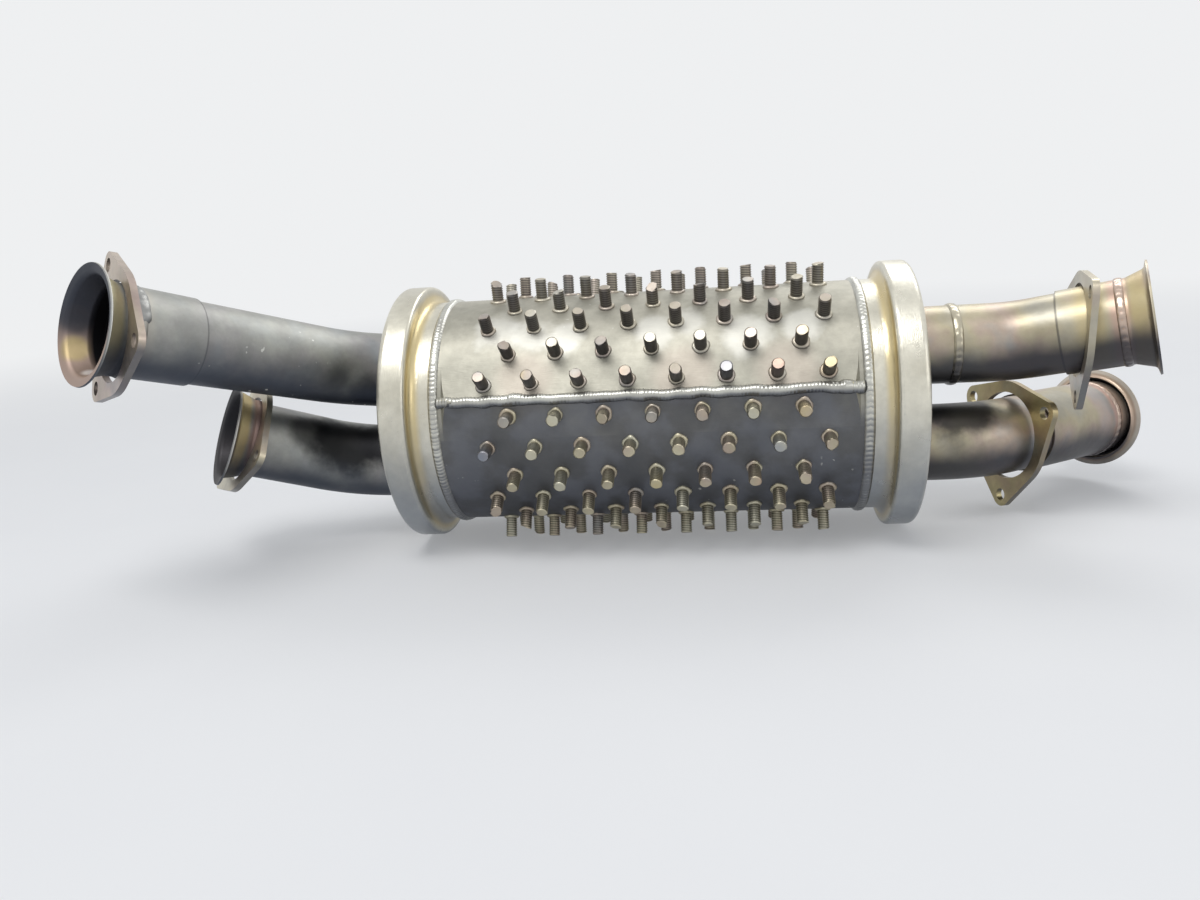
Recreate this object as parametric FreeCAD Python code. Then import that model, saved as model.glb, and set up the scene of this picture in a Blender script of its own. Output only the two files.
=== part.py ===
import FreeCAD, Part
import math
import os

from FreeCAD import Vector as V

# Exhaust muffler with a studded heat-transfer can, four flared inlet pipes that each carry a loose
# three-hole flange, and one outlet stub at the back. Millimetres. While it is built, X runs along the
# can from its middle, the viewer's side is -Y and Z is up. Angles round the can start at -Y and rise
# over the top. At the end everything is moved so that the origin is under the middle, on the ground.

# can
can_radius = 61.0
can_wall = 1.2
can_half_length = 107.5
seam_angle = 15.0
seam_flat_angle = 18.0
seam_bead_radius = 2.2
seam_bead_lift = -0.7
seam_fade_length = 12.0
butt_bead_radius = 2.2
butt_bead_height = 1.4

# end caps, each pressed from sheet: neck, wide rim for the heater shroud, dished end
cap_wall = 1.2
neck_length = 8.0
neck_bend_radius = 4.5
rim_radius = 70.0
rim_width = 14.5
rim_inner_edge_radius = 2.0
rim_outer_edge_radius = 3.0
rim_face_width = 7.0
dish_depth = 4.0
dish_slope_width = 4.0
dish_bend_radius = 2.0

# heat-transfer studs
stud_radius = 3.175
stud_length = 11.5
stud_rows = 24
stud_pitch = 24.2
stud_row_count = 8
stud_pattern_shift = 4.0
stud_sides = 10

# inlet pipes
pipe_radius = 20.65
pipe_wall = 1.25
pipe_inside_length = 8.0
bend_radius = 62.0
hole_clearance = 0.05
fillet_weld_size = 3.0
pipe_bead_radius = 2.4
pipe_bead_height = 0.6

# sleeves and flared ends
sleeve_clearance = 0.05
sleeve_wall = 1.0
flare_radius = 28.575
flare_cone_radius = 24.6
flare_length = 9.6
flare_lip_drop = 1.0
flare_bend_radius = 2.0

# loose flanges
flange_bore_radius = 23.9
flange_body_radius = 30.0
flange_thickness = 3.2
flange_hole_circle_radius = 34.0
flange_hole_radius = 3.4
flange_ear_radius = 6.5

# outlet stub, opposite the seam
outlet_radius = 28.575
outlet_wall = 1.25
outlet_reach = 104.0
outlet_inside_radius = 50.0
outlet_stud_margin = 4.0

# perforated core tube and the two baffles that hold it
core_radius = 25.4
core_wall = 1.0
core_half_length = 84.0
core_hole_radius = 5.0
core_hole_rings = 5
core_ring_pitch = 26.0
core_holes_round = 6
baffle_position = 76.0
baffle_wall = 1.2
baffle_lip_length = 7.0
baffle_bend_radius = 3.0
inner_clearance = 0.05

# One entry per inlet. side: -1 left, 1 right. across and up: where it leaves the cap. straight: from the
# cap's end face to the bend. turn and heading: how far it bends and towards where (0 is -Y, 90 is up).
# run: from the bend to the flared end. ring: distance of the butt weld from the flared end. sleeve: where
# the sleeve ends. The flange's own values: slid is its distance from the flared end, lean_side and
# lean_up tip it on the pipe, ears turns its three ears and drop is how far it hangs down.
INLETS = {
    "left_upper": dict(side=-1, across=6.0, up=23.2, straight=-1.8, turn=58.1, heading=20.8, run=121.5,
                       ring=16.8, sleeve=47.0, slid=13.4, lean_side=7.3, lean_up=-2.9, ears=65.8, drop=0.9),
    "left_lower": dict(side=-1, across=2.0, up=-28.4, straight=20.8, turn=39.8, heading=35.3, run=53.1,
                       ring=8.0, sleeve=15.2, slid=10.4, lean_side=-3.9, lean_up=6.1, ears=64.5, drop=0.7),
    "right_upper": dict(side=1, across=6.0, up=23.8, straight=46.4, turn=23.6, heading=28.0, run=51.8,
                        ring=12.8, sleeve=41.0, slid=32.1, lean_side=-11.9, lean_up=-11.1, ears=40.0, drop=0.2),
    "right_lower": dict(side=1, across=2.0, up=-28.5, straight=20.2, turn=40.5, heading=185.0, run=87.1,
                        ring=9.0, sleeve=74.0, slid=84.0, lean_side=19.1, lean_up=-0.1, ears=30.1, drop=0.1),
}
stub_inlet = "right_upper"
stub_length = 28.0

# sizes that follow from the ones above
rim_inner_x = can_half_length + neck_length + neck_bend_radius
cap_end_x = rim_inner_x + rim_width
dish_x = cap_end_x - dish_depth
sleeve_bore = pipe_radius + sleeve_clearance
sleeve_radius = sleeve_bore + sleeve_wall
shell_bore = can_radius - can_wall
EX = V(1, 0, 0)
EZ = V(0, 0, 1)


def around(angle, radius, x=0.0):
    a = math.radians(angle)
    return V(x, -radius * math.cos(a), radius * math.sin(a))


def rod(radius, start, end):
    return Part.makeCylinder(radius, (end - start).Length, start, end - start)


def tube(outer, inner, start, end):
    return rod(outer, start, end).cut(rod(inner, start, end))


def rounded_path(points, radii):
    """A wire through the points in the XY plane, each inner corner rounded by its radius."""
    edges = []
    last = points[0]
    for before, corner, after, radius in zip(points, points[1:], points[2:], radii):
        u = (before - corner).normalize()
        w = (after - corner).normalize()
        half = 0.5 * u.getAngle(w)
        reach = radius / math.tan(half)
        middle = corner + (u + w).normalize() * (radius / math.sin(half) - radius)
        first = corner + u * reach
        second = corner + w * reach
        if (first - last).Length > 1e-6:
            edges.append(Part.makeLine(last, first))
        edges.append(Part.Arc(first, middle, second).toShape())
        last = second
    edges.append(Part.makeLine(last, points[-1]))
    return Part.Wire(edges)


def pressed_sheet(points, radii, wall):
    """Sheet of one wall, turned about X: the points are (x, radius) along its outer face."""
    outer = rounded_path([V(x, r, 0) for x, r in points], radii)
    band = outer.makeOffset2D(wall, 0, True, True)
    return band.revolve(V(0, 0, 0), EX, 360)


def ring_bead(x, surface, radius, height):
    """A round weld bead about X that stands up from a cylinder."""
    centre = surface + height - radius
    half = math.sqrt(radius ** 2 - (surface - centre) ** 2)
    arc = Part.Arc(V(x - half, surface, 0), V(x, surface + height, 0), V(x + half, surface, 0)).toShape()
    chord = Part.makeLine(V(x + half, surface, 0), V(x - half, surface, 0))
    return Part.Face(Part.Wire([arc, chord])).revolve(V(0, 0, 0), EX, 360)


def placed(shape, origin, axis):
    """Stands a shape built along X at a place, with its X along the axis."""
    moved = shape.copy()
    moved.Placement = FreeCAD.Placement(origin, FreeCAD.Rotation(EX, axis)).multiply(moved.Placement)
    return moved


class Inlet:
    """The centreline of one inlet pipe and the frame at its flared end."""

    def __init__(self, name):
        self.name = name
        for key, value in INLETS[name].items():
            setattr(self, key, value)
        out = EX * self.side
        sideways = around(self.heading, 1.0)
        turn = math.radians(self.turn)
        self.out = out
        self.start = V(self.side * (dish_x - pipe_inside_length), self.across, self.up)
        self.bend_start = V(self.side * (dish_x + self.straight), self.across, self.up)
        centre = self.bend_start + sideways * bend_radius
        half = 0.5 * turn
        self.bend_middle = centre + out * (bend_radius * math.sin(half)) - sideways * (bend_radius * math.cos(half))
        self.bend_end = centre + out * (bend_radius * math.sin(turn)) - sideways * (bend_radius * math.cos(turn))
        self.axis = out * math.cos(turn) + sideways * math.sin(turn)
        self.rim = self.bend_end + self.axis * self.run
        self.level = self.axis.cross(EZ).normalize()
        self.rise = self.level.cross(self.axis)

    def back(self, distance):
        return self.rim - self.axis * distance

    def swept(self, radius, start, end):
        lines = [Part.makeLine(start, self.bend_start)]
        lines.append(Part.Arc(self.bend_start, self.bend_middle, self.bend_end).toShape())
        lines.append(Part.makeLine(self.bend_end, end))
        circle = Part.Wire(Part.makeCircle(radius, start, self.out))
        return Part.Wire(lines).makePipeShell([circle], True, True)

    def flange_normal(self):
        tip = self.level * math.tan(math.radians(self.lean_side))
        tip = tip + self.rise * math.tan(math.radians(self.lean_up))
        return (self.axis + tip).normalize()

    def flange_centre(self):
        return self.back(self.slid) - self.rise * self.drop


def seam_section():
    """The rolled can's outer outline: round, with the two flat ends that meet at the raised seam."""
    peak = can_radius / math.cos(math.radians(seam_flat_angle))
    upper = around(seam_angle + seam_flat_angle, can_radius, -can_half_length)
    lower = around(seam_angle - seam_flat_angle, can_radius, -can_half_length)
    far = around(seam_angle + 180, can_radius, -can_half_length)
    ridge = around(seam_angle, peak, -can_half_length)
    wire = Part.Wire([Part.Arc(upper, far, lower).toShape(), Part.makeLine(lower, ridge),
                      Part.makeLine(ridge, upper)])
    return Part.Face(wire), peak


def seam_envelope(peak):
    """The seam's ridge sinks to the round neck near each end, inside this turned outline."""
    full = peak + 2 * seam_bead_radius
    inner = can_half_length - seam_fade_length
    land = can_half_length - 2 * butt_bead_radius
    half = [V(land, can_radius, 0), V(inner, full, 0)]
    outline = [V(-can_half_length, 0, 0), V(-can_half_length, can_radius, 0)]
    outline += [V(-p.x, p.y, 0) for p in half]
    outline += half[::-1]
    outline += [V(can_half_length, can_radius, 0), V(can_half_length, 0, 0)]
    return Part.Face(Part.makePolygon(outline + outline[:1])).revolve(V(0, 0, 0), EX, 360)


def outlet_axis():
    return around(seam_angle + 180, 1.0)


def outlet_centre(radius):
    return around(seam_angle + 180, radius, stud_pattern_shift)


def can_shell():
    section, peak = seam_section()
    body = section.extrude(EX * (2 * can_half_length))
    bead_line = around(seam_angle, peak + seam_bead_lift, -can_half_length)
    body = body.fuse(rod(seam_bead_radius, bead_line, bead_line + EX * (2 * can_half_length)))
    body = body.common(seam_envelope(peak))
    body = body.cut(rod(shell_bore, V(-can_half_length, 0, 0), V(can_half_length, 0, 0)))
    opening = rod(outlet_radius + hole_clearance, outlet_centre(0), outlet_centre(2 * can_radius))
    return body.cut(opening)


def end_cap(side):
    points = [(can_half_length, can_radius), (rim_inner_x, can_radius), (rim_inner_x, rim_radius),
              (cap_end_x, rim_radius), (cap_end_x, rim_radius - rim_face_width),
              (dish_x, rim_radius - rim_face_width - dish_slope_width), (dish_x, 0)]
    radii = [neck_bend_radius, rim_inner_edge_radius, rim_outer_edge_radius, dish_bend_radius, dish_bend_radius]
    cap = pressed_sheet(points, radii, cap_wall)
    cap = cap.fuse(ring_bead(can_half_length, can_radius, butt_bead_radius, butt_bead_height))
    if side < 0:
        cap = cap.mirror(V(0, 0, 0), EX)
    for name in INLETS:
        inlet = Inlet(name)
        if inlet.side == side:
            foot = V(side * (dish_x - 0.5 * cap_wall), inlet.across, inlet.up)
            weld = Part.makeCone(pipe_radius + fillet_weld_size + 0.5 * cap_wall, pipe_radius,
                                 fillet_weld_size + 0.5 * cap_wall, foot, inlet.out)
            cap = cap.fuse(weld).cut(inlet.swept(pipe_radius + hole_clearance, inlet.start, inlet.rim))
    return cap


def bent_pipe(inlet):
    start = inlet.start
    if inlet.name == stub_inlet:
        start = V(inlet.side * (dish_x + stub_length), inlet.across, inlet.up)
    end = inlet.back(inlet.ring)
    return inlet.swept(pipe_radius, start, end).cut(inlet.swept(pipe_radius - pipe_wall, start, end))


def inlet_stub(inlet):
    """The short pipe that the can was built with, with the butt weld to the bent pipe round its end."""
    end = V(inlet.side * (dish_x + stub_length), inlet.across, inlet.up)
    bead = ring_bead(0, pipe_radius, pipe_bead_radius, 1.5 * pipe_bead_height)
    return tube(pipe_radius, pipe_radius - pipe_wall, inlet.start, end).fuse(placed(bead, end, inlet.out))


def slip_sleeve(inlet):
    return tube(sleeve_radius, sleeve_bore, inlet.back(inlet.sleeve), inlet.back(inlet.ring))


def flared_end(inlet, skirt):
    """Turned about X from its skirt to the lip at x = 0, then stood on the pipe's end."""
    points = [(-skirt, sleeve_radius), (-flare_length, sleeve_radius), (-flare_lip_drop, flare_cone_radius),
              (0, flare_radius)]
    horn = pressed_sheet(points, [flare_bend_radius, flare_bend_radius], sleeve_wall)
    if skirt == inlet.ring:
        horn = horn.fuse(ring_bead(-skirt, sleeve_radius, pipe_bead_radius, pipe_bead_height))
    return placed(horn, inlet.rim, inlet.axis)


def flange_outline():
    """A round body with three ears, each joined to it by two tangent lines."""
    tangent = math.degrees(math.acos((flange_body_radius - flange_ear_radius) / flange_hole_circle_radius))
    edges = []

    def spot(angle, radius, centre=V(0, 0, 0)):
        a = math.radians(angle)
        return centre + V(0, radius * math.cos(a), radius * math.sin(a))

    for ear in (0, 120, 240):
        centre = spot(ear, flange_hole_circle_radius)
        low = spot(ear - tangent, flange_body_radius)
        high = spot(ear + tangent, flange_body_radius)
        ear_low = spot(ear - tangent, flange_ear_radius, centre)
        ear_high = spot(ear + tangent, flange_ear_radius, centre)
        following = spot(ear + 120 - tangent, flange_body_radius)
        edges.append(Part.makeLine(low, ear_low))
        edges.append(Part.Arc(ear_low, spot(ear, flange_ear_radius, centre), ear_high).toShape())
        edges.append(Part.makeLine(ear_high, high))
        edges.append(Part.Arc(high, spot(ear + 60, flange_body_radius), following).toShape())
    return Part.Face(Part.Wire(edges))


def loose_flange(inlet):
    plate = flange_outline().extrude(EX * flange_thickness)
    plate.translate(EX * (-0.5 * flange_thickness))
    plate = plate.cut(rod(flange_bore_radius, V(-flange_thickness, 0, 0), V(flange_thickness, 0, 0)))
    for ear in (0, 120, 240):
        a = math.radians(ear)
        hole = V(-flange_thickness, flange_hole_circle_radius * math.cos(a), flange_hole_circle_radius * math.sin(a))
        plate = plate.cut(rod(flange_hole_radius, hole, hole + EX * (2 * flange_thickness)))
    normal = inlet.flange_normal()
    level = (inlet.level - normal * inlet.level.dot(normal)).normalize()
    rise = level.cross(normal)
    turn = math.radians(inlet.ears)
    first = level * math.cos(turn) + rise * math.sin(turn)
    frame = FreeCAD.Rotation(normal, first, normal.cross(first), "XYZ")
    plate.Placement = FreeCAD.Placement(inlet.flange_centre(), frame).multiply(plate.Placement)
    return plate


def stud(angle, x):
    """One welded stud, square to the skin under it: the skin is flat beside the seam."""
    offset = (angle - seam_angle + 180) % 360 - 180
    lean = 0.0
    foot = can_radius
    if abs(offset) < seam_flat_angle:
        lean = math.copysign(seam_flat_angle, offset) - offset
        foot = can_radius / math.cos(math.radians(lean))
    start = around(angle, foot, x)
    normal = around(angle + lean, 1.0)
    side = EX.cross(normal)
    corners = []
    for index in range(stud_sides + 1):
        a = 2 * math.pi * index / stud_sides
        corners.append(start + EX * (stud_radius * math.cos(a)) + side * (stud_radius * math.sin(a)))
    return Part.Face(Part.makePolygon(corners)).extrude(normal * stud_length)


def stud_rows_between(first, last):
    """Staggered rows: every other row has one stud fewer and sits half a pitch over."""
    studs = []
    spacing = 360.0 / stud_rows
    keep_out = outlet_radius + stud_radius + outlet_stud_margin
    for row in range(first, last):
        angle = seam_angle + (row + 0.5) * spacing
        count = stud_row_count - row % 2
        for index in range(count):
            x = stud_pattern_shift + (index - 0.5 * (count - 1)) * stud_pitch
            off = (angle - seam_angle) % 360 - 180
            sideways = can_radius * math.sin(math.radians(off))
            if abs(off) < 90 and math.hypot(x - stud_pattern_shift, sideways) < keep_out:
                continue
            studs.append(stud(angle, x))
    return Part.makeCompound(studs)


def core_tube():
    ends = V(-core_half_length, 0, 0), V(core_half_length, 0, 0)
    core = tube(core_radius, core_radius - core_wall, *ends)
    for ring in range(core_hole_rings):
        x = (ring - 0.5 * (core_hole_rings - 1)) * core_ring_pitch
        for index in range(core_holes_round):
            angle = 360.0 * (index + 0.5 * (ring % 2)) / core_holes_round
            core = core.cut(rod(core_hole_radius, V(x, 0, 0), around(angle, 2 * core_radius, x)))
    return core


def baffle(side):
    hole = core_radius + inner_clearance
    rim = shell_bore - inner_clearance
    points = [(baffle_position, hole), (baffle_position, rim), (baffle_position + baffle_lip_length, rim)]
    plate = pressed_sheet(points, [baffle_bend_radius], baffle_wall)
    if side < 0:
        plate = plate.mirror(V(0, 0, 0), EX)
    return plate


def outlet_stub():
    """The stub with its weld: a collar shaped to the can, so a tailpipe's sleeve stops against it."""
    start = outlet_centre(outlet_inside_radius)
    stub = tube(outlet_radius, outlet_radius - outlet_wall, start, outlet_centre(outlet_reach))
    collar = tube(outlet_radius + fillet_weld_size, outlet_radius, start,
                  outlet_centre(can_radius + fillet_weld_size))
    ends = V(-can_half_length, 0, 0), V(can_half_length, 0, 0)
    return stub.fuse(collar.cut(rod(can_radius + hole_clearance, *ends)))


def build():
    nodes = {}
    nodes["can_shell"] = can_shell()
    nodes["left_end_cap"] = end_cap(-1)
    nodes["right_end_cap"] = end_cap(1)
    nodes["upper_studs"] = stud_rows_between(0, stud_rows // 2)
    nodes["lower_studs"] = stud_rows_between(stud_rows // 2, stud_rows)
    nodes["core_tube"] = core_tube()
    nodes["left_baffle"] = baffle(-1)
    nodes["right_baffle"] = baffle(1)
    nodes["outlet_stub"] = outlet_stub()
    for name in INLETS:
        inlet = Inlet(name)
        nodes[name + "_pipe"] = bent_pipe(inlet)
        if name == stub_inlet:
            nodes[name + "_stub"] = inlet_stub(inlet)
        skirt = inlet.ring
        if inlet.sleeve - inlet.ring > 10:
            nodes[name + "_sleeve"] = slip_sleeve(inlet)
        else:
            skirt = inlet.sleeve
        nodes[name + "_flared_end"] = flared_end(inlet, skirt)
        nodes[name + "_flange"] = loose_flange(inlet)
    return nodes


def ground_shift(nodes):
    box = FreeCAD.BoundBox()
    for shape in nodes.values():
        box.add(shape.optimalBoundingBox(False, False))
    return V(-0.5 * (box.XMin + box.XMax), -0.5 * (box.YMin + box.YMax), -box.ZMin)


if __name__ == "__main__":
    os.makedirs("parts", exist_ok=True)
    pieces = build()
    shift = ground_shift(pieces)
    for node, shape in pieces.items():
        shape.translate(shift)
        shape.exportStep("parts/" + node + ".step")
        print(node, shape.ShapeType, len(shape.Solids), round(shape.Volume, 1), shape.isValid())
    print("shift", [round(c, 4) for c in shift])
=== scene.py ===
import bisect
import math
import random

import bpy
from mathutils import Matrix, Vector


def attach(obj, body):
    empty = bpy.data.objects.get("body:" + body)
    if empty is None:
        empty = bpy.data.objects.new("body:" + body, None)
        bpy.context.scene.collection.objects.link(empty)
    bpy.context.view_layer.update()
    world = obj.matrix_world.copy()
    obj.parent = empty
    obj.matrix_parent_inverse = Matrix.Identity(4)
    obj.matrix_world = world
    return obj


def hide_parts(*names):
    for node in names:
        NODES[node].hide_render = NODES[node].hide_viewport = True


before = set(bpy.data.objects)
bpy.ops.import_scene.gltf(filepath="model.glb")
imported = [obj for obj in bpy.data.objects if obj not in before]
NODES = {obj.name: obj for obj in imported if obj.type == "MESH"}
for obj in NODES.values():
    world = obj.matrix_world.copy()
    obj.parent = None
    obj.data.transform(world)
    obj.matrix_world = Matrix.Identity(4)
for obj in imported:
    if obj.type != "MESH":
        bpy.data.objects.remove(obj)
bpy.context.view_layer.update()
MAIN = "muffler"
MM = 0.001

# The can's middle in the frame: the lengths below are millimetres from there, as the part was drawn.
CAN = Vector((-3.1139, 13.9563, 72.2739))
ALONG_CAN = Vector((1, 0, 0))
UP = Vector((0, 0, 1))

# The can, its pipes and its studs, as in the part's source, in millimetres and degrees round the can
CAN_RADIUS = 61.0
CAN_HALF = 107.5
SEAM = 15.0
SEAM_FLAT = 18.0
SEAM_PEAK = CAN_RADIUS / math.cos(math.radians(SEAM_FLAT))
DISH_X = 130.5
PIPE_RADIUS = 20.65
SLEEVE_RADIUS = 21.7
BEND = 62.0
STUB_LENGTH = 28.0
FIELD_X = 4.0
OUTLET_REACH = 104.0
OUTLET_ANGLE = SEAM + 180
OUTLET_CLEAR = 35.75
ROW_ANGLE = 15.0
ROW_STUDS = 8
STUD_GAP = 24.2
STUD_RADIUS = 3.175
STUD_LENGTH = 11.5
PITCH = 1.27
THREAD_DEPTH = 0.55

# side, across, up: where the pipe leaves its end cap. straight, turn, heading: its first straight and its
# bend. run: from the bend to the rim of the flared end. ring: from that rim back to the weld.
INLETS = {
    "left_upper": dict(side=-1, across=6.0, up=23.2, straight=-1.8, turn=58.1, heading=20.8, run=121.5,
                       ring=16.8),
    "left_lower": dict(side=-1, across=2.0, up=-28.4, straight=20.8, turn=39.8, heading=35.3, run=53.1,
                       ring=8.0),
    "right_upper": dict(side=1, across=6.0, up=23.8, straight=46.4, turn=23.6, heading=28.0, run=51.8,
                        ring=12.8),
    "right_lower": dict(side=1, across=2.0, up=-28.5, straight=20.2, turn=40.5, heading=185.0, run=87.1,
                        ring=9.0),
}


def around(angle, radius, x=0.0):
    """A place round the can: angle 0 is its front and 90 its top."""
    a = math.radians(angle)
    return Vector((x, -radius * math.cos(a), radius * math.sin(a)))


def metres(v):
    """A place in the frame, from millimetres off the can's middle."""
    return (Vector(v) + CAN) * MM


def rim_and_axis(name):
    """The middle of a flared end's mouth and the direction it faces, as the part's source finds them."""
    d = INLETS[name]
    out = Vector((d["side"], 0, 0))
    sideways = around(d["heading"], 1.0)
    turn = math.radians(d["turn"])
    start = Vector((d["side"] * (DISH_X + d["straight"]), d["across"], d["up"]))
    centre = start + sideways * BEND
    bend_end = centre + out * (BEND * math.sin(turn)) - sideways * (BEND * math.cos(turn))
    axis = out * math.cos(turn) + sideways * math.sin(turn)
    return bend_end + axis * d["run"], axis


def spoke(axis, angle):
    """The direction square to a pipe's axis: 0 is level and 90 is up."""
    level = axis.cross(UP).normalized()
    return level * math.cos(math.radians(angle)) + level.cross(axis) * math.sin(math.radians(angle))


# Colours of the steels
STRAW = (0.62, 0.49, 0.22)
PINK = (0.60, 0.34, 0.27)
BLUE = (0.18, 0.23, 0.36)
LINE = (0.035, 0.035, 0.04)
# black of the soot and of a painted shadow
SOOT_AND_SHADOW_BLACK = (0.018, 0.018, 0.020)
CHIPPED = (0.78, 0.78, 0.74)
# painted shade in the thread roots
PAINTED_ROOT_SHADE = (0.035, 0.033, 0.032)
# painted shade deep in a pipe's bore
PAINTED_THROAT_SHADE = (0.008, 0.008, 0.010)
# painted shade below the can's seam
PAINTED_SEAM_SHADE_TONES = ((0.075, 0.080, 0.095), (0.115, 0.125, 0.155))
# painted sheen on the can
PAINTED_SHEEN = (0.74, 0.73, 0.68)
WARM = (0.44, 0.36, 0.31)
CAP_TONES = ((0.80, 0.77, 0.66), (0.62, 0.59, 0.49))
CAN_TONES = ((0.48, 0.46, 0.39), (0.33, 0.32, 0.27))
INNER_TONES = ((0.36, 0.33, 0.29), (0.22, 0.20, 0.18))
PIPE_TONES = ((0.42, 0.43, 0.41), (0.30, 0.31, 0.31))
TINTED_TONES = ((0.50, 0.47, 0.38), (0.33, 0.31, 0.26))

# Noises of the steels: scale per metre, detail and roughness where it isn't the usual
USUAL_ROUGHNESS = 0.55
CLOUDS = (28, 5, 0.6)
GRIT = (260, 4, 0.65)
TEMPER = (30, 3, 0.5)
PATCHES = (55, 4)
RAGS = (70, 3)
SHADES = (40, 3)
SEAM_CLOUDS = (45, 4)
CHIPS = (300, 1, 0.5)
CHIP_PLACES = (16, 2)
GLOSS = (90, 4)
DENTS = (34, 2)
BRUSH = (300, 2, 0.5)

# Where soft edges begin and end: noise values for clouds, metres for lengths, slopes for normals
CLOUD_EDGE = (0.32, 0.68)
SEAM_CLOUD_EDGE = (0.40, 0.62)
CHIP_EDGE = (0.725, 0.75)
CHIP_PLACE_EDGE = (0.50, 0.60)
FILLET_X_EDGE = (0.0014, 0.0050)
FILLET_RADIUS_EDGE = (0.0020, 0.0065)
BELOW_SEAM_EDGE = (-0.34, -0.02)
BELL_EDGE = (-0.012, 0.004)
THROAT_EDGE = (0.0098, 0.0122)

# How much of each is laid on
GRIT_AMOUNT = 0.22
FILLET_AMOUNT = 0.75
BELOW_SEAM_AMOUNT = 0.80
ROOT_SHADE_AMOUNT = 0.8

BORE_LENGTH = 45.0          # how far inside its mouth a pipe is dark, in millimetres
RAG_DEPTH = 3.0             # how far the bands' edges wander
THROAT_ROUGHNESS = 0.85
SOOT_AND_SHADOW_WOBBLE = 0.8
LINING_WOBBLE = 0.2
PATCH_CORE = 0.45           # share of a patch's radius that is fully laid on
BAND_CORE = 0.35
THIN_BAND = 1.0             # bands up to this half width keep straight edges
LEDGE_DEPTH = 5.0           # deeper than this, an end face in the bore counts as its inside
LEDGE_SLACK = 0.5
FACES_MOUTH = 0.5
DENT_SHARE = 3.0
BUMP_DISTANCE = 0.00012
BUMP_STRENGTH = 0.55


class Nodes:
    """A short way to write a material's node tree."""

    def __init__(self, name):
        self.mat = bpy.data.materials.new(name)
        self.mat.use_nodes = True
        self.tree = self.mat.node_tree
        self.shader = self.tree.nodes["Principled BSDF"]
        coords = self.tree.nodes.new("ShaderNodeTexCoord")
        self.place = coords.outputs["Object"]
        self.normal = self.tree.nodes.new("ShaderNodeNewGeometry").outputs["Normal"]

    def put(self, socket, value):
        if isinstance(value, bpy.types.NodeSocket):
            self.tree.links.new(value, socket)
        elif isinstance(value, (tuple, list, Vector)):
            want = len(socket.default_value)
            socket.default_value = (tuple(value) + (1.0,))[:want]
        else:
            socket.default_value = value

    def math(self, op, a, b=0.0, c=0.0):
        n = self.tree.nodes.new("ShaderNodeMath")
        n.operation = op
        for socket, value in zip(n.inputs, (a, b, c)):
            self.put(socket, value)
        return n.outputs[0]

    def vector(self, op, a, b=(0, 0, 0), scale=None):
        n = self.tree.nodes.new("ShaderNodeVectorMath")
        n.operation = op
        self.put(n.inputs[0], a)
        self.put(n.inputs[1], b)
        if scale is not None:
            self.put(n.inputs["Scale"], scale)
        return n.outputs["Value"] if op in ("DOT_PRODUCT", "LENGTH", "DISTANCE") else n.outputs[0]

    def noise(self, scale, detail, rough=USUAL_ROUGHNESS, stretch=None):
        place = self.place
        if stretch:
            place = self.vector("MULTIPLY", place, stretch)
        n = self.tree.nodes.new("ShaderNodeTexNoise")
        self.put(n.inputs["Vector"], place)
        for key, value in (("Scale", scale), ("Detail", detail), ("Roughness", rough)):
            self.put(n.inputs[key], value)
        return n.outputs["Fac"]

    def ramp(self, value, *stops):
        """stops are (position, grey or colour)."""
        n = self.tree.nodes.new("ShaderNodeValToRGB")
        self.put(n.inputs[0], value)
        points = n.color_ramp.elements
        while len(points) < len(stops):
            points.new(0.5)
        for point, (at, colour) in zip(points, stops):
            if not isinstance(colour, (tuple, list)):
                colour = (colour, colour, colour)
            point.position = at
            point.color = tuple(colour) + (1.0,)
        return n.outputs["Color"]

    def mix(self, fac, a, b, blend="MIX"):
        n = self.tree.nodes.new("ShaderNodeMix")
        n.data_type = "RGBA"
        n.blend_type = blend
        self.put(n.inputs["Factor"], fac)
        self.put(n.inputs["A"], a)
        self.put(n.inputs["B"], b)
        return n.outputs["Result"]

    def stain(self, colour, mask, amount, tint):
        """colour with tint laid over it where mask is 1."""
        return self.mix(self.math("MULTIPLY", mask, amount), colour, tint)

    def rise(self, value, low, high):
        """0 below low, 1 above high and a soft step between them."""
        n = self.tree.nodes.new("ShaderNodeMapRange")
        n.interpolation_type = "SMOOTHSTEP"
        self.put(n.inputs["Value"], value)
        self.put(n.inputs["From Min"], low)
        self.put(n.inputs["From Max"], high)
        return n.outputs["Result"]

    def fall(self, value, low, high):
        """1 below low, 0 above high and a soft step between them."""
        return self.math("SUBTRACT", 1.0, self.rise(value, low, high))

    def axis_part(self, vector, axis):
        n = self.tree.nodes.new("ShaderNodeSeparateXYZ")
        self.put(n.inputs[0], vector)
        return n.outputs["XYZ".index(axis)]

    def distance_from(self, value, place):
        return self.math("ABSOLUTE", self.math("SUBTRACT", value, place))

    def wobbly(self, noise, width):
        """A noise that runs about width from low to high, with its middle at 0."""
        return self.math("MULTIPLY_ADD", noise, width, -0.5 * width)

    def blob(self, centre, radius, wobble=0.35):
        """1 inside a soft uneven patch round a place in can millimetres, 0 outside."""
        away = self.vector("DISTANCE", self.place, tuple(metres(centre)))
        uneven = self.wobbly(self.noise(*PATCHES), wobble * radius * MM)
        return self.fall(self.math("ADD", away, uneven), PATCH_CORE * radius * MM, radius * MM)

    def bump(self, height, distance, strength):
        n = self.tree.nodes.new("ShaderNodeBump")
        self.put(n.inputs["Height"], height)
        self.put(n.inputs["Distance"], distance)
        self.put(n.inputs["Strength"], strength)
        self.put(self.shader.inputs["Normal"], n.outputs["Normal"])

    def finish(self, colour, rough, metallic):
        self.put(self.shader.inputs["Base Color"], colour)
        self.put(self.shader.inputs["Roughness"], rough)
        self.put(self.shader.inputs["Metallic"], metallic)
        return self.mat


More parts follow.
